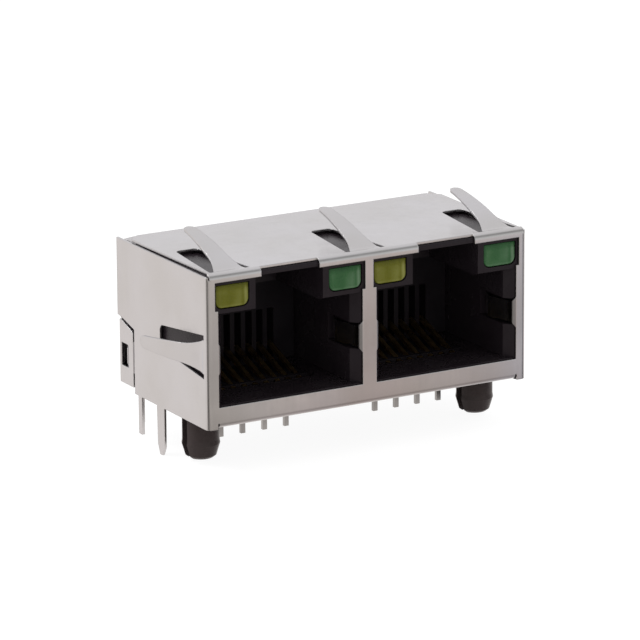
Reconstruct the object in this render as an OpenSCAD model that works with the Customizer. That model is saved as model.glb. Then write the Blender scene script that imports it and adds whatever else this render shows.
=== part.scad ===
// Shielded two-port modular jack for a circuit board, latch side up, with an indicator lamp at each side
// of each port. Origin: on the board's surface, midway between the two pegs. +X to the right as seen from
// the front, +Y towards the back, +Z up. Millimetres.

/* [Ports] */
// Distance between the middles of the two ports
port_pitch = 14.6; // [14.2:0.05:16]
// Width of each window in the front frame
window_w = 13.3; // [13:0.05:13.6]
// Height of the bar under the windows
sill_h = 1.8; // [1.75:0.05:2.2]
// Width of the plug that a port takes
plug_w = 11.7; // [11.5:0.05:11.8]
// Clearance at each side of the plug
plug_gap = 0.1; // [0.05:0.01:0.15]
// Height of the plug cavity, without its latch slot
cavity_h = 7.35; // [7:0.05:7.4]
// Depth of the plug cavity from the front frame
cavity_d = 9.9; // [9.6:0.1:10.4]
// Width of the latch slot
latch_w = 6.2; // [6:0.05:6.3]
// Depth of the latch slot from the front frame
latch_d = 8; // [6:0.1:9]

/* [Shield] */
// Height of the top sheet above the board
body_h = 12.9; // [12.8:0.05:14.5]
// Depth from the front frame to the back ends of the side panels
body_d = 15.45; // [15.4:0.05:18]
// Thickness of the shield's sheet
sheet_t = 0.2; // [0.15:0.01:0.25]
// Outside radius of the folds
fold_r = 0.5; // [0.4:0.05:0.6]
// Width of the frame's bar beside each outer window
side_bar_w = 1.02; // [0.9:0.02:1.2]
// Depth of the lip over the lamps, with its fold
lip_h = 0.75; // [0.65:0.05:0.9]
// Width of the notch in the lip over each latch slot
notch_w = 5.35; // [4.5:0.05:6]
// Length of the side panels' ends that stand past the rear wall
ear_len = 0.1; // [0.1:0.05:0.4]
// Clearance between the shield and what it holds
fit_gap = 0.05; // [0.03:0.01:0.08]
// Gap at the front end of the seam between the top sheet and the side panels
seam_gap = 0.25; // [0.15:0.05:0.35]
// Gap beside each end of the fold at the top of the front frame
fold_end_gap = 0.08; // [0.05:0.01:0.12]

/* [Spring fingers] */
// Distance from the front frame to the root of each finger
finger_setback = 0.75; // [0.7:0.05:1.5]
// Half width of a finger at its root
finger_root = 1.4; // [1.2:0.05:1.5]
// Half width of a finger at its waist
finger_waist = 0.8; // [0.75:0.01:0.95]
// Half width of a finger at its tip
finger_tip = 0.52; // [0.45:0.01:0.65]
// Slope of a finger at its root, in degrees
finger_slope = 26; // [18:1:28]
// Slope of a finger at its tip, in degrees
finger_end_slope = 7; // [4:1:12]
// Radius of the long bend that crowns a finger
finger_bend_r = 20.5; // [18:0.5:24]
// Height of the side fingers above the board
side_finger_z = 6; // [5.6:0.1:6.4]

/* [Earthing springs] */
// Height of each spring's middle above the board
spring_z = 5.8; // [5.4:0.1:6.2]
// Height of each spring's strip
spring_h = 1.8; // [1.4:0.1:2]

/* [Lamps] */
// Width of a lamp
lamp_w = 3; // [2.8:0.05:3.2]
// Height of a lamp
lamp_h = 1.9; // [1.8:0.05:2.1]
// Length of a lamp from front to back
lamp_len = 4; // [3:0.1:5]
// Distance from a port's middle to a lamp's middle
lamp_x = 5.2; // [5.15:0.05:5.25]
// Depth of the lamps' middles below the top sheet's surface
lamp_drop = 2.05; // [2:0.05:2.1]

/* [Contacts] */
// Distance between neighbouring contacts
contact_pitch = 1.02; // [0.98:0.01:1.06]
// Thickness of the contact wire
wire_t = 0.3; // [0.25:0.01:0.35]
// Width of the contact wire
wire_w = 0.4; // [0.35:0.01:0.45]
// Distance from the front frame to the bend that faces the plug
loop_y = 5; // [4.8:0.1:5.4]
// Slope of the free end, in degrees
contact_slope = 20; // [17:1:22]
// Distance from the front frame to the front row of pins
pin_row_y = 7.4; // [7.2:0.05:7.8]
// Distance between the two rows of pins
pin_row_gap = 2.54; // [2.3:0.01:2.7]
// Length of the pins below the board's surface
pin_len = 3.1; // [2.5:0.05:3.6]

/* [Board pegs] */
// Distance between the two pegs
peg_spacing = 25.95; // [25:0.05:26.4]
// Distance from the front frame to the pegs
peg_setback = 5; // [4.5:0.05:6]
// Diameter of the pegs' straight necks
peg_d = 3.05; // [2.8:0.05:3.2]
// Diameter of the pegs' barbs
barb_d = 3.15; // [3:0.05:3.4]
// Length of the pegs below the board's surface
peg_len = 3.65; // [3.2:0.05:4.2]
// Width of the slot that splits each peg
peg_slot = 0.8; // [0.5:0.05:0.9]

/* [Board tails] */
// Length of the pointed tails
long_tail_len = 4.05; // [3.6:0.05:4.6]
// Length of the folded tails
short_tail_len = 3.2; // [2.8:0.05:3.6]

/* [Hidden] */
$fn = 48;
e = 0.01;
// Degrees by which a bend runs on into what it joins
lap = 1;
SIDES = ["left", "right"];
LAMPS = ["led_yellow", "led_green"];
LEADS = ["anode", "cathode"];
CONTACTS = [1:8];

// Colours
tin = [0.79, 0.78, 0.78];
black = [0.1, 0.09, 0.1];
gold = [0.83, 0.68, 0.36];
lamp_colours = [[0.52, 0.53, 0.12], [0.24, 0.48, 0.27]];

// Shield
body_w = port_pitch + window_w + 2 * side_bar_w;
half_w = body_w / 2;
port_x = port_pitch / 2;
panel_gap = 0.05;
panel_h = body_h - sheet_t - panel_gap;
top_end_gap = 1.25;
top_d = body_d - top_end_gap;
rear_y = body_d - ear_len;
lamp_z = body_h - lamp_drop;
window_step_gap = 0.1;
window_step_z = lamp_z - lamp_h / 2 - window_step_gap;
window_top_z = body_h - lip_h;
window_flare = 0.27;
flap_fold_r = 0.4;
flap_z = 0.08;
flap_d = 1.6;
flap_end_gap = 0.05;
flap_half_w = half_w - side_bar_w - flap_end_gap;
corner_slit = 0.15;
flap_side_gap = 0.1;
flap_room = flap_half_w + flap_side_gap;

// Cut in each side panel that leaves room for the rear shield's flap
cut_d = 2.88;
cut_y = body_d - cut_d;
cut_low_z = 5.45;
cut_mid_z = 6;
cut_high_z = 6.3;
cut_mid_d = 0.8;
cut_mid_y = body_d - cut_mid_d;
flap_clear = 0.25;
flap_corner = 0.15;
flap_front = cut_y + flap_clear;
flap_top = cut_mid_z - flap_clear;
rear_bottom_z = 0.47;
rear_corner_r = 0.3;
rear_slope_w = 1.6;
rear_slope_drop = 0.4;

// Latch between the two shields: a tongue of the side panel behind a window in the flap
latch_in = sheet_t + fit_gap;
tongue_z0 = 1.6;
tongue_z1 = 4.3;
latch_window_d0 = 1.85;
latch_window_d1 = 0.62;
latch_window_z0 = 1.95;
latch_window_z1 = 3.9;
latch_slack = 0.15;
tongue_tip = 0.5;
latch_window = [[body_d - latch_window_d0, latch_window_z0], [body_d - latch_window_d1, latch_window_z1]];
latch_front = latch_window[0][0] + latch_slack;
tongue_end = latch_front + tongue_tip;
tongue_bend = flap_clear - fit_gap;

// Board tails
tail_root_z = 0.3;
long_tail_y = 7.5;
long_tail_w = 1.28;
short_tail_y = 11.4;
short_tail_w = 0.58;
tail_fold_w = sheet_t + fit_gap;

// Spring fingers
root_r = 1;
finger_flare = 2.6;
finger_run = root_r * sin(finger_slope) + finger_bend_r * (sin(finger_slope) - sin(finger_end_slope));
hole_spare = 0.4;
hole_step_front = 0.42;
hole_step_back = 0.5;
hole_len = finger_run + hole_spare;
hole_front = finger_root + hole_step_front;
hole_back = finger_tip + hole_step_back;
hole_corner = 0.5;
slit_over = 0.13;
top_finger_edge = 2.45;
top_finger_x = half_w - top_finger_edge;
recess_top = 0.15;
recess_side = 0.1;

// Earthing springs
spring_proud = 0.32;
spring_bend_r = 0.35;
spring_reach = 0.2;
spring_len = 4.2;
spring_crest_y = 2.85;
spring_shoulder = 0.45;
spring_root_h = spring_h + 2 * spring_shoulder;

// Housing
inner_half_w = half_w - latch_in;
housing_front = latch_in;
housing_back = rear_y - sheet_t - fit_gap;
housing_top = body_h - sheet_t - fit_gap;
housing_r = fold_r - latch_in;
roof_t = 0.45;
sill_gap = 0.1;
floor_z = sill_h + sill_gap;
cavity_w = plug_w + 2 * plug_gap;
cavity_top = floor_z + cavity_h;
mouth_end = housing_front + (window_w - cavity_w) / 2;
mouth_rise = 0.25;
mouth_top = cavity_top + mouth_rise;
rear_gap = 0.1;
rear_flap_d = 2.7;
rear_relief_z = rear_bottom_z + rear_gap;
rear_fold_y = rear_y - rear_flap_d;
rear_step_z = housing_top - latch_in;
peg_x = peg_spacing / 2;
peg_web = 0.3;

// Lamps and their leads
lamp_front = housing_front + fit_gap;
lamp_gap = 0.05;
lamp_corner = 0.6;
lead_w = 0.4;
lead_t = 0.3;
lead_pitch = 1.9;
lead_wall = 0.8;
lead_y = housing_back - lead_wall;
lead_bend_r = 0.6;
lead_sink = 0.9;
lead_gap = 0.08;

// Contacts and the insert that carries them
run_z = 0.55;
loop_r = 0.45;
pin_bend_r = 0.4;
slab_gap = 0.3;
loop_z = run_z + loop_r;
wire_gap = 0.04;
comb_slot_gap = 0.2;
comb_slot_w = wire_w + comb_slot_gap;
comb_depth = 1.2;
comb_h = 4.45;
comb_top = floor_z + comb_h;
free_start_y = loop_y + loop_r * cos(90 + contact_slope);
free_sink = 0.4;
free_len = (cavity_d + free_sink - free_start_y) / cos(contact_slope);
slab_edge = 0.9;
slab_half_w = 3.5 * contact_pitch + slab_edge;
slab_front_gap = 0.2;
slab_front = loop_y + slab_front_gap;
tower_gap = 0.15;
insert_z0 = 0.1;
insert_back_gap = 0.2;
insert_back = housing_back - insert_back_gap;

// Moves what is drawn from the front frame back to the part's own origin
module placed() {
    translate([0, -peg_setback, 0])
        children();
}

// Both sides of the middle plane
module both_sides() {
    children();
    mirror([1, 0, 0])
        children();
}

// Box between two corners
module block(low, high) {
    translate(low)
        cube(high - low);
}

// Flat shape in the Y-Z plane, given thickness along X about x
module across(x, thick) {
    translate([x - thick / 2, 0, 0])
        rotate([90, 0, 90])
            linear_extrude(height = thick)
                children();
}

// Flat shape in the X-Z plane, given thickness from y towards the back
module upright(y, thick) {
    translate([0, y + thick, 0])
        rotate([90, 0, 0])
            linear_extrude(height = thick)
                children();
}

// Piece of a ring between two angles, less than 180 degrees apart
module ring_part(r_in, r_out, a0, a1) {
    far = 4 * r_out;
    mid = (a0 + a1) / 2;
    intersection() {
        difference() {
            circle(r = r_out, $fn = 96);
            circle(r = r_in, $fn = 96);
        }
        polygon([[0, 0], far * [cos(a0), sin(a0)], far * [cos(mid), sin(mid)], far * [cos(a1), sin(a1)]]);
    }
}

// Outline of one spring finger, root at the origin, tip along +X
module finger_outline() {
    flare_d = finger_root - finger_waist;
    flare_r = (finger_flare * finger_flare + flare_d * flare_d) / (2 * flare_d);
    tip_x = finger_run - finger_tip;
    polygon([[0, -finger_waist], [finger_flare, -finger_waist], [tip_x, -finger_tip],
             [tip_x, finger_tip], [finger_flare, finger_waist], [0, finger_waist]]);
    translate([tip_x, 0])
        circle(r = finger_tip, $fn = 40);
    difference() {
        translate([-slit_over, -finger_root])
            square([finger_flare + slit_over, 2 * finger_root]);
        for (v = [-1, 1])
            translate([finger_flare, v * (finger_waist + flare_r)])
                circle(r = flare_r, $fn = 128);
    }
}

// Hole that a finger leaves in the sheet, in the same place as finger_outline
module finger_hole_outline() {
    difference() {
        union() {
            polygon([[-slit_over, -hole_front], [hole_len - hole_corner, -hole_back],
                     [hole_len - hole_corner, hole_back], [-slit_over, hole_front]]);
            translate([hole_len - 2 * hole_corner, hole_corner - hole_back])
                square([2 * hole_corner, 2 * (hole_back - hole_corner)]);
            for (v = [-1, 1])
                translate([hole_len - hole_corner, v * (hole_back - hole_corner)])
                    circle(r = hole_corner, $fn = 32);
        }
        translate([-2 * slit_over, -finger_root])
            square([2 * slit_over, 2 * finger_root]);
    }
}

// Side view of a finger: a short bend up at the root, then a long bend that crowns it
module finger_profile() {
    translate([0, root_r])
        ring_part(root_r, root_r + sheet_t, -90, finger_slope - 90);
    crown_x = (root_r + finger_bend_r) * sin(finger_slope);
    crown_y = root_r - (root_r + finger_bend_r) * cos(finger_slope);
    translate([crown_x, crown_y])
        ring_part(finger_bend_r - sheet_t, finger_bend_r, 90 + finger_end_slope,
                  90 + finger_slope + lap);
    translate([-slit_over, -sheet_t])
        square([slit_over, sheet_t]);
}

// One raised finger: sheet surface at z = 0, root at the origin, tip along +Y
module finger() {
    intersection() {
        across(0, 4 * finger_root)
            finger_profile();
        translate([0, 0, -1])
            linear_extrude(height = 6)
                rotate(90)
                    finger_outline();
    }
}

// Cutter for the hole behind a finger, in the same place as finger
module finger_hole(depth) {
    translate([0, 0, -depth])
        linear_extrude(height = 2 * depth)
            rotate(90)
                finger_hole_outline();
}

// Puts a finger's shape in the top sheet at x, or in the left side panel
module on_top(x) {
    translate([x, finger_setback, body_h])
        children();
}

module on_left_side() {
    translate([-half_w, finger_setback, side_finger_z])
        rotate([0, -90, 0])
            children();
}

// Window of one port in the front frame, about the port's middle
module window_outline() {
    flared = window_w / 2 + window_flare;
    translate([-window_w / 2, sill_h])
        square([window_w, window_step_z + e - sill_h]);
    translate([-flared, window_step_z])
        square([2 * flared, window_top_z - window_step_z]);
    translate([-notch_w / 2, window_top_z - e])
        square([notch_w, body_h - window_top_z + 1]);
    translate([-window_w / 2 - spring_bend_r + spring_proud, spring_z - spring_root_h / 2])
        square([window_w + 2 * (spring_bend_r - spring_proud), spring_root_h]);
}

// Spring at a port's right side, about the port's middle: the bend at its root has sloped shoulders
module earthing_spring() {
    face = window_w / 2 - spring_proud;
    root = face + spring_bend_r;
    crest = cavity_w / 2 - spring_reach;
    tip = cavity_w / 2 + 0.3;
    intersection() {
        translate([0, 0, spring_z - spring_root_h / 2])
            linear_extrude(height = spring_root_h)
                translate([root, spring_bend_r])
                    ring_part(spring_bend_r - sheet_t, spring_bend_r, 180, 270);
        translate([0, 0, spring_z])
            upright(-1, 2)
                polygon([[face - e, -spring_h / 2], [root, -spring_root_h / 2], [root + e, -spring_root_h / 2],
                         [root + e, spring_root_h / 2], [root, spring_root_h / 2], [face - e, spring_h / 2]]);
    }
    translate([0, 0, spring_z - spring_h / 2])
        linear_extrude(height = spring_h)
            polygon([[face, spring_bend_r - e], [face, 0.8], [crest, spring_crest_y - 0.15],
                     [crest, spring_crest_y + 0.15], [tip, spring_len], [tip + sheet_t, spring_len],
                     [crest + sheet_t, spring_crest_y + 0.2], [crest + sheet_t, spring_crest_y - 0.2],
                     [face + sheet_t, 0.85], [face + sheet_t, spring_bend_r - e]]);
}

// Front frame and side panels, folded at the two upright corners
module frame_and_sides() {
    difference() {
        linear_extrude(height = panel_h)
            difference() {
                union() {
                    translate([-half_w, fold_r])
                        square([body_w, body_d - fold_r]);
                    translate([-half_w + fold_r, 0])
                        square([body_w - 2 * fold_r, body_d]);
                    for (x = [-1, 1])
                        translate([x * (half_w - fold_r), fold_r])
                            circle(r = fold_r, $fn = 64);
                }
                union() {
                    translate([-half_w + sheet_t, fold_r])
                        square([body_w - 2 * sheet_t, body_d]);
                    translate([-half_w + fold_r, sheet_t])
                        square([body_w - 2 * fold_r, body_d]);
                    for (x = [-1, 1])
                        translate([x * (half_w - fold_r), fold_r])
                            circle(r = fold_r - sheet_t, $fn = 64);
                }
            }
        // Room for the folds at the frame's top and bottom edges
        block([-half_w + sheet_t, -1, body_h - fold_r], [half_w - sheet_t, fold_r, body_h + 1]);
        block([-flap_half_w - corner_slit, -1, -1],
              [flap_half_w + corner_slit, fold_r, flap_z + flap_fold_r]);
    }
}

// Top sheet with the fold down to the lip
module top_sheet() {
    front_half_w = half_w - sheet_t - seam_gap;
    back_half_w = half_w - sheet_t - fit_gap;
    translate([0, 0, body_h - sheet_t])
        linear_extrude(height = sheet_t)
            polygon([[-front_half_w, fold_r], [-back_half_w, top_d - 1], [-back_half_w + 1, top_d],
                     [back_half_w - 1, top_d], [back_half_w, top_d - 1], [front_half_w, fold_r]]);
    across(0, 2 * (half_w - sheet_t - fold_end_gap))
        translate([fold_r, body_h - fold_r])
            ring_part(fold_r - sheet_t, fold_r, 90, 180);
}

// Flap folded under the front frame
module bottom_flap() {
    across(0, 2 * flap_half_w) {
        translate([flap_fold_r, flap_z + flap_fold_r])
            ring_part(flap_fold_r - sheet_t, flap_fold_r, 180, 270);
        translate([flap_fold_r, flap_z])
            square([flap_d - flap_fold_r, sheet_t]);
    }
}

// What is cut from the left side panel to leave room for the rear shield's flap
module panel_cut() {
    across(-half_w, 2)
        polygon([[cut_y, -1], [cut_y, cut_low_z], [cut_mid_y, cut_mid_z], [body_d + 1, cut_high_z],
                 [body_d + 1, -1]]);
}

// Tongue stepped in behind the rear shield's flap, with the raised latch that snaps into its window
module latch_tongue() {
    outer = -half_w;
    inner = outer + latch_in;
    bend_y = cut_y + tongue_bend;
    translate([0, 0, tongue_z0])
        linear_extrude(height = tongue_z1 - tongue_z0)
            polygon([[outer, cut_y - 0.3], [outer, cut_y - 0.05], [inner, bend_y], [inner, tongue_end],
                     [inner + sheet_t, tongue_end], [inner + sheet_t, bend_y - 0.15],
                     [outer + sheet_t, cut_y - 0.2], [outer + sheet_t, cut_y - 0.3]]);
    translate([0, 0, latch_window[0][1] + 0.3])
        linear_extrude(height = latch_window[1][1] - latch_window[0][1] - 0.6)
            polygon([[inner, latch_front], [outer + 0.04, latch_front], [outer + 0.04, latch_front + 0.15],
                     [inner, tongue_end]]);
}

// Pointed tail that is soldered to the board
module pointed_tail() {
    low = -long_tail_len;
    across(-half_w + sheet_t / 2, sheet_t)
        translate([long_tail_y, 0])
            polygon([[0, tail_root_z], [0.02, low + 0.75], [0.4, low], [0.8, low], [1.15, low + 0.85],
                     [long_tail_w, tail_root_z]]);
}

// Short tail with one edge folded in, which stiffens it
module folded_tail() {
    low = -short_tail_len;
    across(-half_w + sheet_t / 2, sheet_t)
        translate([short_tail_y, 0])
            polygon([[0, tail_root_z], [0, low], [short_tail_w - 0.03, low], [short_tail_w, tail_root_z]]);
    upright(short_tail_y, sheet_t)
        translate([-half_w, 0])
            polygon([[0, low], [tail_fold_w, low], [tail_fold_w, -0.9], [sheet_t, -0.15], [0, -0.15]]);
}

module front_shield() {
    color(tin)
        placed() {
            difference() {
                union() {
                    frame_and_sides();
                    top_sheet();
                    bottom_flap();
                }
                for (x = [-port_x, port_x])
                    translate([x, 0, 0])
                        upright(-1, 1 + fold_r - 0.1)
                            window_outline();
                for (x = [-top_finger_x, 0, top_finger_x])
                    on_top(x)
                        finger_hole(1);
                both_sides() {
                    on_left_side()
                        finger_hole(1);
                    panel_cut();
                }
            }
            for (x = [-top_finger_x, 0, top_finger_x])
                on_top(x)
                    finger();
            both_sides() {
                on_left_side()
                    finger();
                latch_tongue();
                pointed_tail();
                folded_tail();
            }
            for (x = [-port_x, port_x])
                translate([x, 0, 0])
                    both_sides()
                        earthing_spring();
        }
}

// Rear wall between the ears, with its fold forward under the top sheet. The fold's two ends slope down.
module rear_wall() {
    wall_half_w = half_w - sheet_t - fit_gap;
    difference() {
        across(0, 2 * wall_half_w) {
            translate([rear_y - fold_r, housing_top - fold_r])
                ring_part(fold_r - sheet_t, fold_r, 0, 90);
            translate([rear_fold_y + 0.1, housing_top - sheet_t])
                square([rear_y - fold_r - rear_fold_y - 0.1, sheet_t]);
            translate([rear_y - sheet_t, rear_bottom_z])
                square([sheet_t, housing_top - fold_r - rear_bottom_z]);
        }
        both_sides()
            upright(rear_fold_y, body_d)
                polygon([[wall_half_w - rear_slope_w, body_h], [wall_half_w - rear_slope_w, housing_top],
                         [wall_half_w + 1, housing_top - rear_slope_drop], [wall_half_w + 1, body_h]]);
    }
}

// Plan view with two rounded corners at the back
module rear_plan(half, back, r) {
    translate([-half, -1])
        square([2 * half, back - r + 1]);
    translate([-half + r, -1])
        square([2 * (half - r), back + 1]);
    for (x = [-1, 1])
        translate([x * (half - r), back - r])
            circle(r = r, $fn = 64);
}

// Flaps folded forward round the two rear corners
module rear_flaps() {
    difference() {
        translate([0, 0, rear_bottom_z])
            linear_extrude(height = cut_high_z - rear_bottom_z)
                difference() {
                    rear_plan(half_w, rear_y, rear_corner_r);
                    rear_plan(half_w - sheet_t, rear_y - sheet_t, rear_corner_r - sheet_t);
                }
        both_sides() {
            across(-half_w, 8 * fold_r)
                polygon([[-1, -1], [flap_front, -1], [flap_front, cut_low_z - flap_clear - flap_corner],
                         [flap_front + flap_corner, cut_low_z - flap_clear],
                         [cut_mid_y, flap_top], [rear_y + 1, flap_top], [rear_y + 1, body_h],
                         [-1, body_h]]);
            across(-half_w, 2)
                latch_window_outline();
        }
    }
}

module latch_window_outline() {
    size = latch_window[1] - latch_window[0];
    translate(latch_window[0])
        square(size);
}

module rear_shield() {
    color(tin)
        placed() {
            rear_wall();
            rear_flaps();
        }
}

// Outside of the housing, its front edges rounded inside the shield's folds
module housing_body() {
    intersection() {
        across(0, 2 * inner_half_w) {
            polygon([[housing_front, 0], [housing_back, 0], [housing_back, rear_step_z - housing_r],
                     [housing_back - housing_r, rear_step_z], [rear_fold_y, rear_step_z],
                     [rear_fold_y, housing_top], [housing_front + housing_r, housing_top],
                     [housing_front, housing_top - housing_r]]);
            for (corner = [[housing_front + housing_r, housing_top - housing_r],
                           [housing_back - housing_r, rear_step_z - housing_r]])
                translate(corner)
                    circle(r = housing_r, $fn = 48);
        }
        linear_extrude(height = body_h) {
            translate([-inner_half_w, housing_front + housing_r])
                square([2 * inner_half_w, housing_back - housing_front - 2 * housing_r]);
            translate([-inner_half_w + housing_r, housing_front])
                square([2 * (inner_half_w - housing_r), housing_back - housing_front]);
            for (x = [-1, 1])
                for (y = [housing_front + housing_r, housing_back - housing_r])
                    translate([x * (inner_half_w - housing_r), y])
                        circle(r = housing_r, $fn = 48);
        }
    }
}

// Front view of a lamp, or of its pocket when grown, about the lamp's middle
module lamp_outline(grow) {
    w = lamp_w / 2 + grow;
    h = lamp_h / 2 + grow;
    r = lamp_corner;
    translate([-w, -h + r])
        square([2 * w, 2 * h - r]);
    translate([-w + r, -h])
        square([2 * (w - r), r + e]);
    for (x = [-1, 1])
        translate([x * (w - r), -h + r])
            circle(r = r, $fn = 40);
}

// Side view of a lamp's lead, or of its passage when grown
module lead_profile(grow) {
    start = lamp_front + lamp_len - lead_sink;
    t = lead_t / 2 + grow;
    bend_y = lead_y - lead_bend_r;
    translate([start, lamp_z - t])
        square([bend_y - start, 2 * t]);
    translate([bend_y, lamp_z - lead_bend_r])
        ring_part(lead_bend_r - t, lead_bend_r + t, -lap, 90 + lap);
    translate([lead_y - t, -pin_len - grow])
        square([2 * t, lamp_z - lead_bend_r + pin_len + grow]);
}

module lead_at(x, grow) {
    across(x, lead_w + 2 * grow)
        lead_profile(grow);
}

// Slopes that lead a plug into its cavity, about the port's middle
module mouth() {
    intersection() {
        linear_extrude(height = body_h)
            polygon([[-window_w / 2, -1], [window_w / 2, -1], [window_w / 2, housing_front],
                     [cavity_w / 2, mouth_end], [-cavity_w / 2, mouth_end], [-window_w / 2, housing_front]]);
        across(0, 2 * window_w)
            polygon([[-1, floor_z], [mouth_end, floor_z], [mouth_end, cavity_top],
                     [housing_front, mouth_top], [-1, mouth_top]]);
    }
}

// Hollows of one port, about the port's middle
module port_hollows() {
    pocket_back = lamp_front + lamp_len + lamp_gap;
    lead_reach = lead_pitch / 2 + lead_w / 2 + lead_gap;
    lead_drop_y = lead_y - lead_t / 2 - lead_gap;
    spring_pocket = window_w / 2 + sheet_t - 0.05;
    block([-cavity_w / 2, -1, floor_z], [cavity_w / 2, housing_back + 1, cavity_top]);
    mouth();
    block([-latch_w / 2, -1, cavity_top - e], [latch_w / 2, latch_d, housing_top - roof_t]);
    block([-slab_half_w - fit_gap, loop_y - loop_r - wire_t / 2 - slab_gap, -1],
          [slab_half_w + fit_gap, housing_back + 1, floor_z + e]);
    block([-spring_pocket, -1, spring_z - spring_h / 2 - 0.2],
          [spring_pocket, spring_len + 0.3, spring_z + spring_h / 2 + 0.2]);
    for (side = [-1, 1]) {
        x = side * lamp_x;
        upright(-1, pocket_back + 1)
            translate([x, lamp_z])
                lamp_outline(lamp_gap);
        block([x - lead_reach, pocket_back - e, lamp_z - lead_t / 2 - lead_gap],
              [x + lead_reach, housing_back + 1, lamp_z + lead_t / 2 + lead_gap]);
        block([x - lead_reach, lead_drop_y, -1], [x + lead_reach, housing_back + 1, lamp_z]);
        block([x - lead_reach, lead_y - lead_bend_r - lead_gap, lamp_z - lead_bend_r],
              [x + lead_reach, housing_back + 1, lamp_z]);
    }
}

// Split peg with a barb, below the board's surface
module peg() {
    difference() {
        translate([0, 0, -peg_len])
            rotate_extrude($fn = 72)
                polygon([[0, 0], [barb_d / 2 - 0.55, 0], [barb_d / 2 - 0.3, 0.2], [barb_d / 2, 1.2],
                         [peg_d / 2, 1.55], [peg_d / 2, peg_len + e], [0, peg_len + e]]);
        block([-barb_d, -peg_slot / 2, -peg_len - 1], [barb_d, peg_slot / 2, -peg_web]);
    }
}

module housing() {
    color(black)
        placed() {
            difference() {
                housing_body();
                for (x = [-port_x, port_x])
                    translate([x, 0, 0])
                        port_hollows();
                // Step for the flap under the front frame
                block([-flap_room, 0, -1], [flap_room, flap_d + 0.15, flap_z + sheet_t + fit_gap]);
                block([-flap_room, 0, -1], [flap_room, flap_fold_r, flap_z + flap_fold_r]);
                // Room under the rear edge
                block([-half_w, cut_y - 0.1, -1], [half_w, body_d, rear_relief_z]);
                // Hollows under the spring fingers
                for (x = [-top_finger_x, 0, top_finger_x])
                    block([x - hole_front - 0.1, finger_setback - 0.2, housing_top - recess_top],
                          [x + hole_front + 0.1, finger_setback + hole_len + 0.2, body_h]);
                both_sides() {
                    block([-half_w, finger_setback - 0.2, side_finger_z - hole_front - 0.1],
                          [-inner_half_w + recess_side, finger_setback + hole_len + 0.2,
                           side_finger_z + hole_front + 0.1]);
                    block([-half_w, cut_y - 0.2, tongue_z0 - 0.2],
                          [-inner_half_w + latch_in + 0.02, body_d, tongue_z1 + 0.2]);
                }
            }
            for (x = [-peg_x, peg_x])
                translate([x, peg_setback, 0])
                    peg();
        }
}

// Side view of a contact wire, or of its passage when grown, for a pin at pin_y
module contact_profile(pin_y, grow) {
    t = wire_t / 2 + grow;
    free_y = loop_y + loop_r * cos(90 + contact_slope);
    free_z = loop_z + loop_r * sin(90 + contact_slope);
    // Pin and its bend
    translate([pin_y - t, -pin_len])
        square([2 * t, pin_len + run_z - pin_bend_r]);
    translate([pin_y - pin_bend_r, run_z - pin_bend_r])
        ring_part(pin_bend_r - t, pin_bend_r + t, -lap, 90 + lap);
    // Run forward under the floor
    translate([loop_y, run_z - t])
        square([pin_y - pin_bend_r - loop_y, 2 * t]);
    // Loop at the front
    translate([loop_y, loop_z]) {
        ring_part(loop_r - t, loop_r + t, 180 - lap, 270 + lap);
        ring_part(loop_r - t, loop_r + t, 90 + contact_slope, 180);
    }
    // Free end that slopes up towards the comb
    translate([free_y, free_z])
        rotate(contact_slope)
            translate([-e, -t])
                square([free_len + e, 2 * t]);
}

function contact_x(i) = (i - 4.5) * contact_pitch;
function pin_y(i) = pin_row_y + ((i % 2 == 0) ? 0 : pin_row_gap);

module contact(side, i) {
    color(gold)
        placed()
            across(side * port_x + contact_x(i), wire_w)
                contact_profile(pin_y(i), 0);
}

// Moulded carrier: a slab under the wires and a tower behind the cavity, with the comb in its face
module contact_insert(side) {
    tower_half_w = cavity_w / 2 - tower_gap;
    color(black)
        placed()
            translate([side * port_x, 0, 0])
                difference() {
                    union() {
                        block([-slab_half_w, slab_front, insert_z0],
                              [slab_half_w, cavity_d + e, floor_z - fit_gap]);
                        block([-slab_half_w, cavity_d, insert_z0],
                              [slab_half_w, insert_back, floor_z + 0.2]);
                        block([-tower_half_w, cavity_d, floor_z + fit_gap],
                              [tower_half_w, insert_back, cavity_top - fit_gap]);
                    }
                    for (i = CONTACTS) {
                        across(contact_x(i), wire_w + 2 * wire_gap)
                            contact_profile(pin_y(i), wire_gap);
                        block([contact_x(i) - comb_slot_w / 2, cavity_d - 1, floor_z + 0.3],
                              [contact_x(i) + comb_slot_w / 2, cavity_d + comb_depth, comb_top]);
                    }
                    for (x = [-lamp_x, lamp_x])
                        for (a = [-1, 1])
                            block([x + a * lead_pitch / 2 - lead_w / 2 - lead_gap,
                                   lead_y - lead_t / 2 - lead_gap, -1],
                                  [x + a * lead_pitch / 2 + lead_w / 2 + lead_gap, housing_back, body_h]);
                }
}

// One lamp: kind 0 stands at a port's left, kind 1 at its right
module lamp(side, kind) {
    x = side * port_x + (2 * kind - 1) * lamp_x;
    color(lamp_colours[kind])
        placed()
            difference() {
                translate([x, 0, lamp_z])
                    upright(lamp_front, lamp_len)
                        lamp_outline(0);
                for (a = [-1, 1])
                    lead_at(x + a * lead_pitch / 2, 0.02);
            }
}

module lead(side, kind, a) {
    x = side * port_x + (2 * kind - 1) * lamp_x + (2 * a - 1) * lead_pitch / 2;
    color(tin)
        placed()
            lead_at(x, 0);
}

front_shield();
rear_shield();
housing();
for (s = [0, 1]) {
    side = 2 * s - 1;
    contact_insert(side);
    for (i = CONTACTS)
        contact(side, i);
    for (k = [0, 1]) {
        lamp(side, k);
        for (a = [0, 1])
            lead(side, k, a);
    }
}
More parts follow.
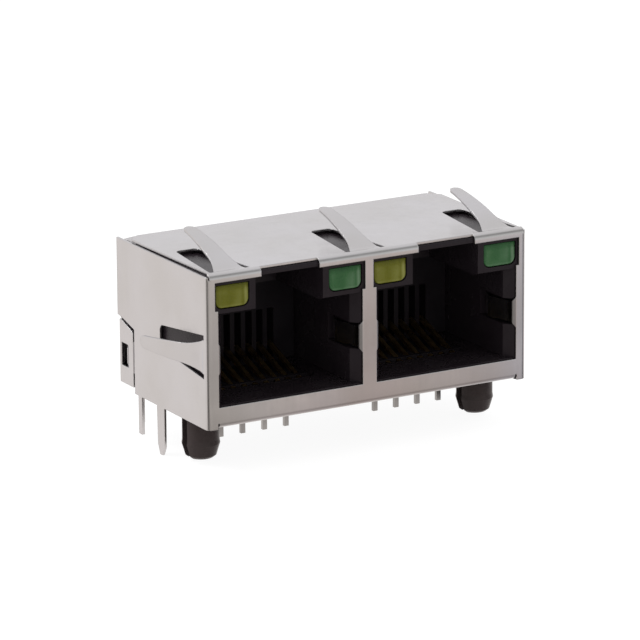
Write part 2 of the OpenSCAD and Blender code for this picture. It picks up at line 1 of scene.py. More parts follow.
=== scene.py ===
# %% [markdown]
# # A shielded two-port jack for a circuit board
#
# The real object is a small block, about 30 mm wide, folded from tin-plated sheet round a black moulding.
# Two ports open at the front. Springs of the same sheet stand up from the top and the sides, two split pegs
# and rows of pins point down to the circuit board, and a small coloured lamp sits in each upper corner of
# each port.
#
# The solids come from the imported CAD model, which is loaded as a frame and never moved. This script gives
# every solid its finish, makes finer lenses for the lamps, and sets up the camera, the floor and the light.

# %% Load the frame
import math

import bmesh
import bpy
from mathutils import Matrix, Vector


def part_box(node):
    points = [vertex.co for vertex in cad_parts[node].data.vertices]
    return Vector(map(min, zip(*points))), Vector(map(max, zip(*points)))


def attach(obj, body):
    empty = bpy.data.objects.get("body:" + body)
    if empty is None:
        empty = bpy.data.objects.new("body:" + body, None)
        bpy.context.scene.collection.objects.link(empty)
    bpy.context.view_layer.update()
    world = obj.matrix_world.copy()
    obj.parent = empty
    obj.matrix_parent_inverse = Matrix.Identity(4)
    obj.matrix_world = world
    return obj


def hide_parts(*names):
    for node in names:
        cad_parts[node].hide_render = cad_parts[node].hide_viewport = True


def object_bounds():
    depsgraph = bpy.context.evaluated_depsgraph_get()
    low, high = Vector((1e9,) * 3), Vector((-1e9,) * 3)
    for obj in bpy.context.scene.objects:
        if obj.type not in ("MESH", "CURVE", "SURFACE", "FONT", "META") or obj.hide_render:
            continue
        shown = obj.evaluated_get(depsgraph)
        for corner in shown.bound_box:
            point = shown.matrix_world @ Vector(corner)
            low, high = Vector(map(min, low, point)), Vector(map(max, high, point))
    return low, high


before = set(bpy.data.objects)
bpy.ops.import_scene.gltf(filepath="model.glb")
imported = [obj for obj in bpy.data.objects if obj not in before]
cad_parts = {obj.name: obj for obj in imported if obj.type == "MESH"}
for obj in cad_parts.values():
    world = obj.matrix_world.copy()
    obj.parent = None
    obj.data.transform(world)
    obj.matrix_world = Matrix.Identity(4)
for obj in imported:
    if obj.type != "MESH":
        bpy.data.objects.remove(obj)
cad_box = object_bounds()
MM = 0.001


def in_mm(place):
    return [round(v / MM, 2) for v in place]


print("nodes:", len(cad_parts))
print("CAD box in mm:", [in_mm(corner) for corner in cad_box])

# %% [markdown]
# ## The camera
#
# A long lens from far away keeps the lines of the box nearly parallel, as in the product photograph. The
# camera could be placed by hand, but a matrix built from one azimuth, one elevation and a distance is easier
# to correct: each number changes one thing in the picture.

# %% Place the camera
AZIMUTH = math.radians(-29.655)
ELEVATION = math.radians(15.454)
ROLL = math.radians(-0.355)
CAMERA_DISTANCE = 410.57 * MM
LOOK_AT = Vector((-4.638, -5.0, 7.786)) * MM
SENSOR_WIDTH = 36.0
FOCAL_LENGTH = 286.9
CLIP_START = 10 * MM
CLIP_END = 10000 * MM

back = Vector((
    math.sin(AZIMUTH) * math.cos(ELEVATION),
    -math.cos(AZIMUTH) * math.cos(ELEVATION),
    math.sin(ELEVATION),
))
right = Vector((math.cos(AZIMUTH), math.sin(AZIMUTH), 0))
up = back.cross(right)

camera_data = bpy.data.cameras.new("camera")
camera_data.lens = FOCAL_LENGTH
camera_data.sensor_width = SENSOR_WIDTH
camera_data.clip_start = CLIP_START
camera_data.clip_end = CLIP_END
camera = bpy.data.objects.new("camera", camera_data)
bpy.context.scene.collection.objects.link(camera)
turn = Matrix((right, up, back)).transposed().to_4x4() @ Matrix.Rotation(ROLL, 4, "Z")
camera.matrix_world = Matrix.Translation(LOOK_AT + back * CAMERA_DISTANCE) @ turn
bpy.context.scene.camera = camera
print("camera at, mm:", in_mm(camera.matrix_world.translation))

# %% [markdown]
# ## Small helpers for node trees
#
# Materials are made from nodes, so that a pattern has no size limit and needs no picture file. A node tree
# in code soon gets long, so a few helpers take up what repeats. The first one adds a node and fills its
# inputs by name: an input takes a number, a colour, or the output of another node, which is linked to it.

# %% Helpers for single nodes
def add_node(tree, kind, settings=None, inputs=None):
    made = tree.nodes.new(kind)
    for name, value in (settings or {}).items():
        setattr(made, name, value)
    for name, value in (inputs or {}).items():
        socket = made.inputs[name]
        if isinstance(value, bpy.types.NodeSocket):
            tree.links.new(value, socket)
        else:
            socket.default_value = value
    return made


def object_place(tree):
    return add_node(tree, "ShaderNodeTexCoord").outputs["Object"]


def axes_of(tree, vector):
    return add_node(tree, "ShaderNodeSeparateXYZ", inputs={"Vector": vector}).outputs


print("helpers:", [helper.__name__ for helper in (add_node, object_place, axes_of)])

# %% [markdown]
# Most patterns need the same four steps: a noise gives a value for each place, arithmetic joins two values,
# a Map Range stretches a part of a value's range over a new range, and a Mix blends two colours.

# %% Helpers for values and colours
def noise(tree, place, scale, detail, roughness=0.5):
    made = add_node(tree, "ShaderNodeTexNoise", inputs={
        "Vector": place, "Scale": scale, "Detail": detail, "Roughness": roughness})
    return made.outputs["Fac"]


def math_node(tree, operation, *values):
    made = add_node(tree, "ShaderNodeMath", {"operation": operation}, dict(enumerate(values)))
    return made.outputs["Value"]


def map_range(tree, value, low, high, new_low=0.0, new_high=1.0):
    made = add_node(tree, "ShaderNodeMapRange", inputs={
        "Value": value, "From Min": low, "From Max": high, "To Min": new_low, "To Max": new_high})
    return made.outputs["Result"]


def mix_colours(tree, factor, first, second, blend="MIX"):
    made = add_node(tree, "ShaderNodeMix", {"data_type": "RGBA", "blend_type": blend}, {
        "Factor": factor, "A": first, "B": second})
    return made.outputs["Result"]


print("helpers:", [helper.__name__ for helper in (noise, math_node, map_range, mix_colours)])

# %% [markdown]
# A node group is a small machine with named inputs and outputs that several materials can share. Each
# material places it with its own values, so an effect is drawn once and mended in one place. Both groups of
# this file put out a colour, a roughness and a height.

# %% Helpers for groups
SURFACE_OUTPUTS = (
    ("Color", "NodeSocketColor"),
    ("Roughness", "NodeSocketFloat"),
    ("Height", "NodeSocketFloat"),
)


def new_group(name, inputs):
    group = bpy.data.node_groups.new(name, "ShaderNodeTree")
    for label, kind, value in inputs:
        socket = group.interface.new_socket(name=label, in_out="INPUT", socket_type=kind)
        socket.default_value = value
    for label, kind in SURFACE_OUTPUTS:
        group.interface.new_socket(name=label, in_out="OUTPUT", socket_type=kind)
    return group, add_node(group, "NodeGroupInput").outputs


def close_group(group, colour, roughness, height):
    add_node(group, "NodeGroupOutput", inputs={
        "Color": colour, "Roughness": roughness, "Height": height})
    return group


def place_group(tree, group, inputs):
    return add_node(tree, "ShaderNodeGroup", {"node_tree": group}, inputs).outputs


print("outputs of a group:", [label for label, kind in SURFACE_OUTPUTS])

# %% [markdown]
# ## Effect: cloudy tin plate
#
# Tin on steel sheet is neither a mirror nor evenly dull. Its crystals and the rolls of the mill leave soft
# clouds a few millimetres wide, fine lines along the strip, and here and there a spot that is duller than the
# rest. Three noise patterns of different size and stretch give this: clouds tint the colour, lines and spots
# change the roughness. The spots also serve as the height of a very shallow bump.

# %% Build the tin plate group
CLOUDS = {"scale": 190.0, "detail": 3.0}
LINES = {"scale": 1.0, "detail": 4.0, "roughness": 0.6}
SPOTS = {"scale": 900.0, "detail": 3.0}
STRIP_STRETCH = (2600.0, 2600.0, 120.0)
CLOUD_RANGE = (0.35, 0.65)
DULLNESS_RANGE = (0.7, 1.3)


def tin_plate_group():
    group, given = new_group("cloudy tin plate", (
        ("Light", "NodeSocketColor", (0.6, 0.6, 0.6, 1)),
        ("Dark", "NodeSocketColor", (0.5, 0.5, 0.5, 1)),
        ("Bright Roughness", "NodeSocketFloat", 0.25),
        ("Dull Roughness", "NodeSocketFloat", 0.4),
    ))
    place = object_place(group)
    along_strip = add_node(group, "ShaderNodeMapping", inputs={"Vector": place, "Scale": STRIP_STRETCH})
    lines = noise(group, along_strip.outputs["Vector"], **LINES)
    spots = noise(group, place, **SPOTS)
    cloud_mask = map_range(group, noise(group, place, **CLOUDS), *CLOUD_RANGE)
    colour = mix_colours(group, cloud_mask, given["Dark"], given["Light"])
    dullness = map_range(
        group, math_node(group, "ADD", lines, spots), *DULLNESS_RANGE,
        given["Bright Roughness"], given["Dull Roughness"])
    return close_group(group, colour, dullness, spots)


tin_plate = tin_plate_group()
print("group:", tin_plate.name, "with", len(tin_plate.nodes), "nodes")

# %% [markdown]
# ## Effect: moulded skin
#
# Black nylon takes the surface of its steel mould: a fine grain that is too small to see as dots, but that
# breaks up each reflection. Where the melt met a corner the skin is a little duller. Noise with cells of less
# than a tenth of a millimetre gives the grain, and a wide soft noise gives the dull patches.

# %% Build the moulded skin group
GRAIN = {"scale": 14000.0, "detail": 2.0}
PATCHES = {"scale": 420.0, "detail": 4.0, "roughness": 0.55}
PATCH_RANGE = (0.35, 0.7)


def moulded_skin_group():
    group, given = new_group("moulded skin", (
        ("Color", "NodeSocketColor", (0.02, 0.02, 0.02, 1)),
        ("Worn Color", "NodeSocketColor", (0.03, 0.03, 0.03, 1)),
        ("Gloss Roughness", "NodeSocketFloat", 0.25),
        ("Dull Roughness", "NodeSocketFloat", 0.4),
    ))
    place = object_place(group)
    grain = noise(group, place, **GRAIN)
    mask = map_range(group, noise(group, place, **PATCHES), *PATCH_RANGE)
    colour = mix_colours(group, mask, given["Color"], given["Worn Color"])
    dullness = map_range(group, mask, 0.0, 1.0, given["Gloss Roughness"], given["Dull Roughness"])
    return close_group(group, colour, dullness, grain)


moulded_skin = moulded_skin_group()
print("group:", moulded_skin.name, "with", len(moulded_skin.nodes), "nodes")

# %% [markdown]
# ## The finishes
#
# A finish is one Principled shader. Numbers that are the same all over a surface stay on the shader itself,
# and only what changes from place to place comes in through a link.
#
# Punched sheet has no knife-sharp edges. A bevel in the mesh could round them, but the CAD's mesh stays as it
# is. A Bevel node turns the normals near each edge instead, so that the edge catches light as if it were
# rounded.

# %% Helpers for a finish
ROUNDING_SAMPLES = 6


def shader_of(made):
    return next(n for n in made.node_tree.nodes if n.type == "BSDF_PRINCIPLED")


def new_finish(name, constants):
    made = bpy.data.materials.new(name)
    made.use_nodes = True
    shader = shader_of(made)
    for label, value in constants.items():
        shader.inputs[label].default_value = value
    return made, made.node_tree, shader


def add_bump(tree, shader, height, strength, depth, rounding=0.0):
    bump = add_node(tree, "ShaderNodeBump", inputs={
        "Height": height, "Strength": strength, "Distance": depth})
    if rounding > 0:
        soft = add_node(tree, "ShaderNodeBevel", {"samples": ROUNDING_SAMPLES}, {"Radius": rounding})
        tree.links.new(soft.outputs["Normal"], bump.inputs["Normal"])
    tree.links.new(bump.outputs["Normal"], shader.inputs["Normal"])


def finish_from(name, constants, group, values, strength, depth, rounding=0.0):
    made, tree, shader = new_finish(name, constants)
    effect = place_group(tree, group, values)
    tree.links.new(effect["Color"], shader.inputs["Base Color"])
    tree.links.new(effect["Roughness"], shader.inputs["Roughness"])
    add_bump(tree, shader, effect["Height"], strength, depth, rounding)
    return made


print("helpers:", [helper.__name__ for helper in (new_finish, add_bump, finish_from)])

# %% [markdown]
# ### Tin-plated sheet and wire
#
# The two shields are punched from one kind of sheet, and the leads of the lamps are drawn wire with a duller
# coat of tin. Both show the same metal, so both place the same group. The sheet alone gets the rounded edges,
# a tenth of a millimetre wide, because the leads are too thin for them to show.

# %% Finishes of the sheet and the leads
SHEET_ROUNDING = 0.1 * MM


def plated(name, light, dark, bright, dull, strength, depth, rounding=0.0):
    return finish_from(name, {"Metallic": 1.0}, tin_plate, {
        "Light": light, "Dark": dark, "Bright Roughness": bright, "Dull Roughness": dull,
    }, strength, depth, rounding)


sheet_finish = plated(
    "tin_plated_sheet", light=(0.60, 0.592, 0.60, 1), dark=(0.57, 0.56, 0.555, 1),
    bright=0.17, dull=0.27, strength=0.25, depth=0.003 * MM, rounding=SHEET_ROUNDING)
lead_finish = plated(
    "tinned_wire", light=(0.62, 0.61, 0.60, 1), dark=(0.50, 0.49, 0.47, 1),
    bright=0.22, dull=0.38, strength=0.25, depth=0.006 * MM)
print("plated finishes:", [made.name for made in (sheet_finish, lead_finish)])

# %% [markdown]
# ### Painted shade on the bends of the earthing springs
#
# The four springs are bent from the edges of the windows over a very small radius, and the bends look dark in
# the photograph. They mirror the dark port, and that shade is painted into the sheet's colour here as painted
# shade, not as duller tin. Stretched tin turns dull, which is the guess made here, though they may only
# mirror the dark port. They are part of the front sheet. A material of their own would need faces picked by
# hand, so a mask finds the bends: the distance from a port's middle, the height and the depth each give a
# soft step, and their product is one only there. Each pair of lengths below is where such a step starts and
# where it ends.

# %% Paint shade on the bends
PORT_X = 7.3 * MM
SPRING_Z = 5.8 * MM
BEND_ACROSS = (6.60 * MM, 6.65 * MM)
BEND_UP = (1.8 * MM, 2.0 * MM)
BEND_BACK = (-4.6 * MM, -4.4 * MM)
BEND_SHADE_COLOUR = (0.30, 0.296, 0.30, 1)


def soft_step(tree, value, start, end):
    return map_range(tree, value, start, end, 1.0, 0.0)


def distance_from(tree, value, middle):
    return math_node(tree, "ABSOLUTE", math_node(tree, "SUBTRACT", value, middle))


def spring_bend_shade(tree):
    axes = axes_of(tree, object_place(tree))
    from_port = distance_from(tree, distance_from(tree, axes["X"], 0.0), PORT_X)
    from_spring = distance_from(tree, axes["Z"], SPRING_Z)
    in_window = soft_step(tree, from_port, *BEND_ACROSS)
    at_height = soft_step(tree, from_spring, *BEND_UP)
    at_front = soft_step(tree, axes["Y"], *BEND_BACK)
    return math_node(tree, "MULTIPLY", math_node(tree, "MULTIPLY", in_window, at_height), at_front)


def paint_where(made, mask, colour):
    painted = shader_of(made).inputs["Base Color"]
    under = painted.links[0].from_socket
    made.node_tree.links.new(mix_colours(made.node_tree, mask, under, colour), painted)


# Painted shade: the bends are darkened in the sheet's colour where they mirror the dark port.
paint_where(sheet_finish, spring_bend_shade(sheet_finish.node_tree), BEND_SHADE_COLOUR)
print("nodes of the sheet's finish:", len(sheet_finish.node_tree.nodes))

# %% [markdown]
# ### Black mouldings
#
# The housing and the two inserts are black nylon, each from its own mould. The housing's mould is polished,
# and the inserts sit deep in the ports, where a satin skin keeps them quiet. They share the group of the
# moulded skin, with other values for colour and roughness.

# %% Finishes of the mouldings
SKIN_BUMP = 0.3


def moulded(name, colour, worn, gloss, dull, depth, shine):
    return finish_from(name, {"Specular IOR Level": shine}, moulded_skin, {
        "Color": colour, "Worn Color": worn, "Gloss Roughness": gloss, "Dull Roughness": dull,
    }, SKIN_BUMP, depth)


housing_finish = moulded(
    "black_housing", colour=(0.024, 0.018, 0.022, 1), worn=(0.031, 0.025, 0.029, 1),
    gloss=0.20, dull=0.32, depth=0.003 * MM, shine=0.14)
insert_finish = moulded(
    "black_insert", colour=(0.014, 0.011, 0.014, 1), worn=(0.020, 0.017, 0.020, 1),
    gloss=0.38, dull=0.55, depth=0.006 * MM, shine=0.14)
print("moulded finishes:", [made.name for made in (housing_finish, insert_finish)])

# %% [markdown]
# ### Greyer pegs, a painted reflection
#
# The two pegs belong to the housing, but look greyer in the photograph. That grey is painted into the
# housing's colour here as a painted reflection of the pale floor around them, not as a coarser skin. The
# guess made here is a coarser skin, which scatters more light than the smooth walls. Height alone tells them
# apart, because only the pegs reach below the board, so one soft step on Object Z makes the mask.

# %% Grey the pegs
BOARD_TOP = (-0.1 * MM, 0.1 * MM)
PEG_REFLECTION_COLOUR = (0.070, 0.055, 0.053, 1)


def below_board(tree):
    return soft_step(tree, axes_of(tree, object_place(tree))["Z"], *BOARD_TOP)


# Painted reflection: the pegs are painted greyer in the housing's colour.
paint_where(housing_finish, below_board(housing_finish.node_tree), PEG_REFLECTION_COLOUR)
print("nodes of the housing's finish:", len(housing_finish.node_tree.nodes))

# %% [markdown]
# ### Gold only where the plug touches
#
# A contact is one wire from the spring in the port to the pin in the board. Gold costs money, so it covers
# the spring alone, and the pin is dipped in tin. Height in the part tells the two apart: a Map Range on
# Object Z, shifted a little by noise, makes an uneven waterline about half a millimetre above the board.

# %% Finish of the contact wires
RIPPLES = {"scale": 2500.0, "detail": 2.0}
RIPPLE_SIZE = 0.4 * MM
WATERLINE = (0.6 * MM, 0.8 * MM)
GOLD = (0.60, 0.42, 0.19, 1)


def above_waterline(tree):
    place = object_place(tree)
    ripples = noise(tree, place, **RIPPLES)
    height = math_node(tree, "MULTIPLY_ADD", ripples, RIPPLE_SIZE, axes_of(tree, place)["Z"])
    return map_range(tree, height, *WATERLINE)


# The contacts' tin is real, but its colour is set darker than the leads' tin: painted shade on the pins.
contact_finish = plated(
    "gold_and_tin_wire", light=(0.40, 0.395, 0.385, 1), dark=(0.30, 0.293, 0.285, 1),
    bright=0.26, dull=0.42, strength=0.2, depth=0.004 * MM)
paint_where(contact_finish, above_waterline(contact_finish.node_tree), GOLD)
print("finish:", contact_finish.name)

# %% [markdown]
# ### Colours along a line
#
# The lamps, the floor and the sky each need a colour that changes along one value. A colour ramp does that,
# but it reads from 0 to 1 only. The helper puts a Map Range before it, so that the stops can be written in
# the value's own unit. A second helper takes grey tones for colours.

# %% Helpers for ramps
def tint_ramp(tree, value, stops, unit=1.0):
    low = stops[0][0]
    high = stops[-1][0]
    along = map_range(tree, value, low * unit, high * unit)
    made = add_node(tree, "ShaderNodeValToRGB", inputs={"Fac": along})
    made.color_ramp.elements[0].color = stops[0][1]
    made.color_ramp.elements[1].color = stops[-1][1]
    for place, colour in stops[1:-1]:
        made.color_ramp.elements.new((place - low) / (high - low)).color = colour
    return made.outputs["Color"]


def tone_ramp(tree, value, stops):
    return tint_ramp(tree, value, [(place, (tone, tone, tone, 1)) for place, tone in stops])


print("helpers:", [helper.__name__ for helper in (tint_ramp, tone_ramp)])

# %% [markdown]
# ### Tinted lamp resin, with painted shade and highlight
#
# An unlit lamp is clear resin with a little dye. Its look changes across the face: the lip above keeps light
# off the top, the metal cup inside shows as a deeper patch, and the right and lower edges gather light into a
# pale line. The shade under the lip and the pale edge lines are painted into the base colour here, as painted
# shade and painted highlight. Noise alone can't place these, so each lens gets a UV map that runs from 0 to 1
# across its face. One ramp reads it from left to right and a second from bottom to top. A third turns their
# product, made uneven by a wide noise, into the dye's colours, from a shaded dye through the body colour to a
# lit one.

# %% Finish of the lamps
# Painted shade and painted highlight across and up the face of a lens.
SHADE_AND_HIGHLIGHT_ACROSS = (
    (0.0, 0.35), (0.12, 0.62), (0.42, 0.48), (0.74, 0.62), (0.84, 0.42), (0.92, 0.95), (1.0, 0.55))
SHADE_AND_HIGHLIGHT_UP = ((0.0, 0.70), (0.06, 1.0), (0.14, 0.78), (0.70, 0.80), (1.0, 0.25))
SHADED_AT = 0.25
BODY_AT = 0.65
LIT_AT = 1.05
CUP = {"scale": 620.0, "detail": 1.5, "roughness": 0.4}
CUP_SHARE = 0.5
SPECKS = {"scale": 5200.0, "detail": 3.0}
SPECK_BUMP = 0.15
SPECK_DEPTH = 0.005 * MM
RESIN_GLOSS = (0.22, 0.34)
RESIN_SHINE = {"Specular IOR Level": 0.2, "Coat Weight": 0.1, "Coat Roughness": 0.08}


# The deep and pale colours are the dye in painted shade and in painted highlight.
def lamp_resin(name, deep, body, pale):
    made, tree, shader = new_finish(name, RESIN_SHINE)
    face = axes_of(tree, add_node(tree, "ShaderNodeUVMap", {"uv_map": "lens"}).outputs["UV"])
    place = object_place(tree)
    across = tone_ramp(tree, face["X"], SHADE_AND_HIGHLIGHT_ACROSS)
    upwards = tone_ramp(tree, face["Y"], SHADE_AND_HIGHLIGHT_UP)
    tone = math_node(tree, "MULTIPLY", across, upwards)
    uneven = math_node(tree, "MULTIPLY_ADD", noise(tree, place, **CUP), CUP_SHARE, tone)
    dye_and_painted_light = tint_ramp(tree, uneven, ((SHADED_AT, deep), (BODY_AT, body), (LIT_AT, pale)))
    specks = noise(tree, place, **SPECKS)
    gloss = map_range(tree, specks, 0.0, 1.0, *RESIN_GLOSS)
    tree.links.new(dye_and_painted_light, shader.inputs["Base Color"])
    tree.links.new(gloss, shader.inputs["Roughness"])
    add_bump(tree, shader, specks, SPECK_BUMP, SPECK_DEPTH)
    return made


yellow_resin = lamp_resin(
    "yellow_lamp_resin",
    deep=(0.088, 0.097, 0.002, 1), body=(0.17, 0.176, 0.010, 1), pale=(0.34, 0.35, 0.090, 1))
green_resin = lamp_resin(
    "green_lamp_resin",
    deep=(0.013, 0.080, 0.024, 1), body=(0.045, 0.157, 0.052, 1), pale=(0.185, 0.32, 0.185, 1))
print("resins:", yellow_resin.name, green_resin.name)

# %% [markdown]
# ## Lamp lenses
#
# The CAD lamp is a block with two rounded lower edges. The real lens has a soft edge all round its face and a
# slight dome, and that edge is what catches the light. The lens could be a scaled cube with a bevel modifier,
# but beveling the chosen edges in a bmesh gives the lower corners a larger radius than the face. Three insets
# then give the face rings of vertices, and moving each ring back a little more makes the dome.

# %% Shape the edges and the face of a lens
LENS_CORNER = 0.6 * MM
LENS_EDGE = 0.12 * MM
LENS_DOME = 0.08 * MM
LENS_RING = 0.14 * MM
CORNER_SEGMENTS = 6
EDGE_SEGMENTS = 4
RINGS = 3
NEAR = 0.0001 * MM


def bevel_edges(shape, edges, width, segments):
    bmesh.ops.bevel(
        shape, geom=edges, offset=width, offset_type="OFFSET", segments=segments, profile=0.5,
        affect="EDGES", clamp_overlap=True, material=-1)


def front_face(shape):
    return min(shape.faces, key=lambda face: face.calc_center_median().y)


def lower_edges(shape, low):
    return [edge for edge in shape.edges
            if all(abs(v.co.z - low.z) < NEAR for v in edge.verts)
            and abs(edge.verts[0].co.x - edge.verts[1].co.x) < NEAR]


def dome_face(shape, low):
    face = front_face(shape)
    centre = face.calc_center_median()
    for _ in range(RINGS):
        bmesh.ops.inset_region(shape, faces=[face], thickness=LENS_RING, depth=0.0)
    on_face = [v for v in shape.verts if v.co.y < low.y + NEAR]
    reach = max((v.co - centre).length for v in on_face)
    for v in on_face:
        v.co.y += LENS_DOME * ((v.co - centre).length / reach) ** 2


print("corner, edge and dome of a lens in mm:", in_mm((LENS_CORNER, LENS_EDGE, LENS_DOME)))

# %% [markdown]
# The lens takes its size and place from the box of the CAD lamp that it replaces, so it fits its pocket. Its
# UV map is worked out from the same box, which keeps the ramps of the resin in step with the face.

# %% Make one lens for each lamp
def lens_mesh(name, low, high):
    shape = bmesh.new()
    size = high - low
    bmesh.ops.create_cube(shape, size=1.0)
    bmesh.ops.scale(shape, vec=size, verts=shape.verts)
    bmesh.ops.translate(shape, vec=(low + high) / 2, verts=shape.verts)
    bevel_edges(shape, lower_edges(shape, low), LENS_CORNER, CORNER_SEGMENTS)
    bevel_edges(shape, list(front_face(shape).edges), LENS_EDGE, EDGE_SEGMENTS)
    dome_face(shape, low)
    bmesh.ops.recalc_face_normals(shape, faces=shape.faces)
    face_map = shape.loops.layers.uv.new("lens")
    for face in shape.faces:
        for loop in face.loops:
            away = loop.vert.co - low
            loop[face_map].uv = (away.x / size.x, away.z / size.z)
    mesh = bpy.data.meshes.new(name)
    shape.to_mesh(mesh)
    shape.free()
    mesh.shade_smooth()
    return mesh


LAMP_FINISHES = {"yellow": yellow_resin, "green": green_resin}
for colour, finish in LAMP_FINISHES.items():
    for side in ("left", "right"):
        node = f"led_{colour}_{side}"
        low, high = (Vector(corner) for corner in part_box(node))
        mesh = lens_mesh(f"lens_{colour}_{side}", low, high)
        mesh.materials.append(finish)
        lens = bpy.data.objects.new(mesh.name, mesh)
        bpy.context.scene.collection.objects.link(lens)
        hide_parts(node)
        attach(lens, "root")
        print(lens.name, "faces:", len(mesh.polygons))

# %% [markdown]
# ## Give the CAD solids their finishes
#
# Every node keeps its own mesh. Only the material in its slots changes. A table of all the nodes could say
# which finish each one gets, but their names already say what they are, so a few tests on the name are
# enough.

# %% Assign the finishes
def finish_of(node):
    if node.endswith("_shield"):
        return sheet_finish
    if node == "housing":
        return housing_finish
    if node.startswith("contact_insert"):
        return insert_finish
    if node.startswith("contact"):
        return contact_finish
    if node.endswith(("_anode", "_cathode")):
        return lead_finish
    return yellow_resin if "yellow" in node else green_resin


for name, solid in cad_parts.items():
    for socket in solid.material_slots:
        socket.material = finish_of(name)
print("finished nodes:", len(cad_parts))

# %% [markdown]
# ## The floor
#
# The photograph has a pure white ground. The floor is nearly white for the camera and still dims where the
# object keeps the light off it. Bright sheet, though, mostly shows what stands in front of it: the upright
# front frame mirrors the table before it, row by row from the sill to the lip. So the floor has a second face
# that only reflections see. More lamps could light the frame too, but they would also light the black
# moulding.
#
# A ramp on Object Y gives that face the tones of the table from far to near. A second ramp runs askew, along
# the line in which the picture's line of sight bounces off the front. It gives each upright bar of the frame
# its warm or cool cast, and fades out below the part. Both were fitted to this one camera angle, and their
# stops are in millimetres.

# %% Tones of the table in front
FLOOR_ROWS = (
    (-60, (0.76, 0.71, 0.69, 1)),
    (-34, (0.50, 0.467, 0.453, 1)),
    (-28, (0.48, 0.449, 0.433, 1)),
    (-22, (0.71, 0.664, 0.637, 1)),
    (-17, (0.50, 0.46, 0.445, 1)),
    (-9, (0.36, 0.33, 0.32, 1)),
    (0, (0.98, 0.926, 0.902, 1)),
)
FLOOR_COLUMNS = (
    (-17.5, (0.97, 0.96, 0.93, 1)),
    (-14.5, (1.03, 1.02, 0.99, 1)),
    (-10.5, (1.22, 1.18, 1.17, 1)),
    (-8.5, (1.20, 1.14, 1.14, 1)),
    (-5.5, (1.02, 0.97, 0.96, 1)),
    (-3, (0.99, 0.885, 0.85, 1)),
    (4, (1.04, 0.995, 0.955, 1)),
    (9, (0.95, 0.90, 0.89, 1)),
    (12.5, (1.08, 1.11, 1.20, 1)),
)
COLUMN_WAY = Vector((1, 0.5685, 0))
COLUMNS_FADE = (-9 * MM, 0.0)


def vector_node(tree, operation, *values):
    made = add_node(tree, "ShaderNodeVectorMath", {"operation": operation}, dict(enumerate(values)))
    return made.outputs


def table_tones(tree, place):
    depth = axes_of(tree, place)["Y"]
    column = vector_node(tree, "DOT_PRODUCT", place, COLUMN_WAY)["Value"]
    rows = tint_ramp(tree, depth, FLOOR_ROWS, MM)
    columns = tint_ramp(tree, column, FLOOR_COLUMNS, MM)
    return mix_colours(tree, soft_step(tree, depth, *COLUMNS_FADE), rows, columns, "MULTIPLY")


print("rows and columns of the table:", len(FLOOR_ROWS), len(FLOOR_COLUMNS))

# %% [markdown]
# A wedge at each front corner stands for a dark stand beside the table, which draws the dark edge of the side
# panels. The floor is folded at its middle line, by the absolute value of X, so that one wedge serves both
# sides. The wedge is a matter of direction only: the dot product of the way from the corner and the way of
# the wedge is near one inside it.

# %% Dark wedge beside the table
FRONT_CORNER = Vector((15, -5, 0)) * MM
DARK_SIDE = Vector((0.92, -0.39, 0))
WEDGE_EDGE = (0.94, 0.99)
WEDGE_TONE = 0.36


def side_shade(tree, place):
    folded_x = axes_of(tree, vector_node(tree, "ABSOLUTE", place)["Vector"])["X"]
    folded = add_node(tree, "ShaderNodeCombineXYZ", inputs={"X": folded_x, "Y": axes_of(tree, place)["Y"]})
    from_corner = vector_node(tree, "SUBTRACT", folded.outputs["Vector"], FRONT_CORNER)["Vector"]
    way = vector_node(tree, "NORMALIZE", from_corner)["Vector"]
    towards = vector_node(tree, "DOT_PRODUCT", way, DARK_SIDE)["Value"]
    return map_range(tree, towards, *WEDGE_EDGE, 1.0, WEDGE_TONE)


print("wedge starts at, mm:", in_mm(FRONT_CORNER))

# %% [markdown]
# The floor's shader asks what kind of ray meets it. Reflections meet the toned face. The camera meets a sheet
# that glows almost white by itself and takes a faint shadow. All other rays meet plain grey paper, which
# throws a moderate light back up at the object.

# %% Make the floor
FLOOR_SIZE = 3000 * MM
PAPER = (0.55, 0.54, 0.54, 1)
SHADOW_PAPER = (0.2, 0.2, 0.2, 1)
WHITE = (1, 1, 1, 1)
FLOOR_GLOW = 0.92


def diffuse(tree, colour):
    return add_node(tree, "ShaderNodeBsdfDiffuse", inputs={"Color": colour}).outputs["BSDF"]


def glowing(tree, colour, strength):
    made = add_node(tree, "ShaderNodeEmission", inputs={"Color": colour, "Strength": strength})
    return made.outputs["Emission"]


def mix_shaders(tree, factor, first, second):
    made = add_node(tree, "ShaderNodeMixShader", inputs={0: factor, 1: first, 2: second})
    return made.outputs["Shader"]


def floor_finish():
    made = bpy.data.materials.new("floor_white")
    made.use_nodes = True
    tree = made.node_tree
    tree.nodes.clear()
    place = object_place(tree)
    seen = add_node(tree, "ShaderNodeAddShader", inputs={
        0: diffuse(tree, SHADOW_PAPER), 1: glowing(tree, WHITE, FLOOR_GLOW)}).outputs["Shader"]
    mirrored = glowing(tree, table_tones(tree, place), side_shade(tree, place))
    ray = add_node(tree, "ShaderNodeLightPath").outputs
    surface = mix_shaders(tree, ray["Is Camera Ray"], diffuse(tree, PAPER), seen)
    surface = mix_shaders(tree, ray["Is Glossy Ray"], surface, mirrored)
    add_node(tree, "ShaderNodeOutputMaterial", inputs={"Surface": surface})
    return made


floor_shape = bmesh.new()
bmesh.ops.create_grid(floor_shape, x_segments=1, y_segments=1, size=FLOOR_SIZE / 2)
bmesh.ops.translate(floor_shape, vec=(0, 0, cad_box[0].z), verts=floor_shape.verts)
floor_mesh = bpy.data.meshes.new("floor")
floor_shape.to_mesh(floor_mesh)
floor_shape.free()
floor_mesh.materials.append(floor_finish())
floor = bpy.data.objects.new("floor", floor_mesh)
bpy.context.scene.collection.objects.link(floor)
print("floor at z, mm:", round(cad_box[0].z / MM, 2))

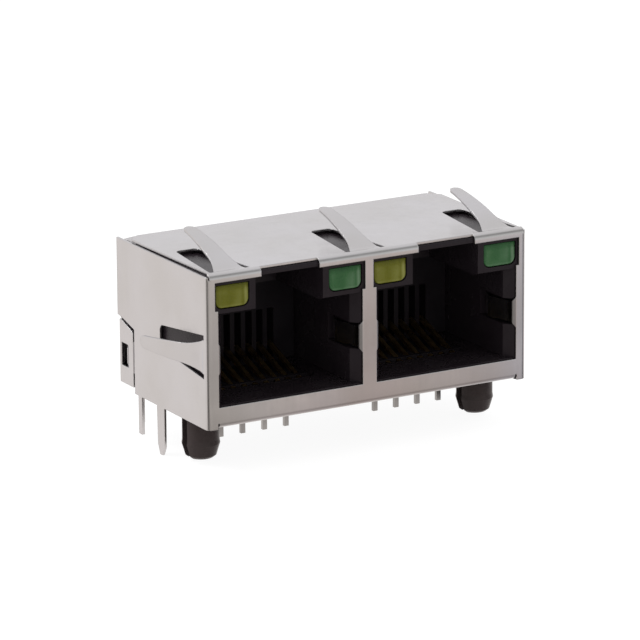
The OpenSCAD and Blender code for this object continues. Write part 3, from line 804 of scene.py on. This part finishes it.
# %% [markdown]
# ## A light tent for a sky
#
# The sky is white where the camera sees it. For reflections it is even and bright at the back and sides. At
# the front it follows a ramp over height: pale near the table, a darker band around forty-five degrees, where
# the tent has its opening, and bright again overhead. The rounded fold along the top of the front mirrors all
# of these in less than half a millimetre, and the band becomes its thin dark line. A picture of a studio
# could do the same, but the ramp is easier to correct.

# %% Make the sky
SKY_BACK = (0.90, 0.885, 0.90, 1)
SKY_RISE = ((0.0, 0.74), (0.25, 0.80), (0.45, 0.55), (0.70, 0.34), (0.84, 0.55), (1.0, 0.90))
TENT_FRONT = (-0.40, 0.05)
SKY_STRENGTH = 1.0


def background(tree, colour):
    made = add_node(tree, "ShaderNodeBackground", inputs={"Color": colour, "Strength": SKY_STRENGTH})
    return made.outputs["Background"]


def build_sky():
    world = bpy.data.worlds.new("tent")
    bpy.context.scene.world = world
    world.use_nodes = True
    tree = world.node_tree
    tree.nodes.clear()
    way = axes_of(tree, add_node(tree, "ShaderNodeTexCoord").outputs["Generated"])
    behind = map_range(tree, way["Y"], *TENT_FRONT)
    tones = mix_colours(tree, behind, tone_ramp(tree, way["Z"], SKY_RISE), SKY_BACK)
    ray = add_node(tree, "ShaderNodeLightPath").outputs
    sky = mix_shaders(tree, ray["Is Camera Ray"], background(tree, tones), background(tree, WHITE))
    add_node(tree, "ShaderNodeOutputWorld", inputs={"Surface": sky})


build_sky()
print("sky:", bpy.context.scene.world.name)

# %% [markdown]
# ## One soft lamp
#
# The tent alone would leave almost no shadow. A single wide disk above, to the left and behind, gives the
# springs and the pegs a faint one and keeps the ground plain. A small lamp would draw hard spots on the
# sheet.

# %% Hang the lamp
KEY_PLACE = Vector((-200, 140, 300)) * MM
KEY_AIM = Vector((0, 0, 6)) * MM
KEY_SIZE = 160 * MM
KEY_POWER = 0.35


def soft_lamp(name, place, aim, size, power):
    lamp = bpy.data.lights.new(name, "AREA")
    lamp.shape = "DISK"
    lamp.size = size
    lamp.energy = power
    holder = bpy.data.objects.new(name, lamp)
    bpy.context.scene.collection.objects.link(holder)
    holder.location = place
    holder.rotation_euler = (place - aim).to_track_quat("Z", "Y").to_euler()
    return holder


key = soft_lamp("key", KEY_PLACE, KEY_AIM, KEY_SIZE, KEY_POWER)
print("lamp:", key.name, "at, mm:", in_mm(key.location))

# %% [markdown]
#
# Standard keeps colours as they are written.

# %% Finish
bpy.context.scene.view_settings.view_transform = "Standard"
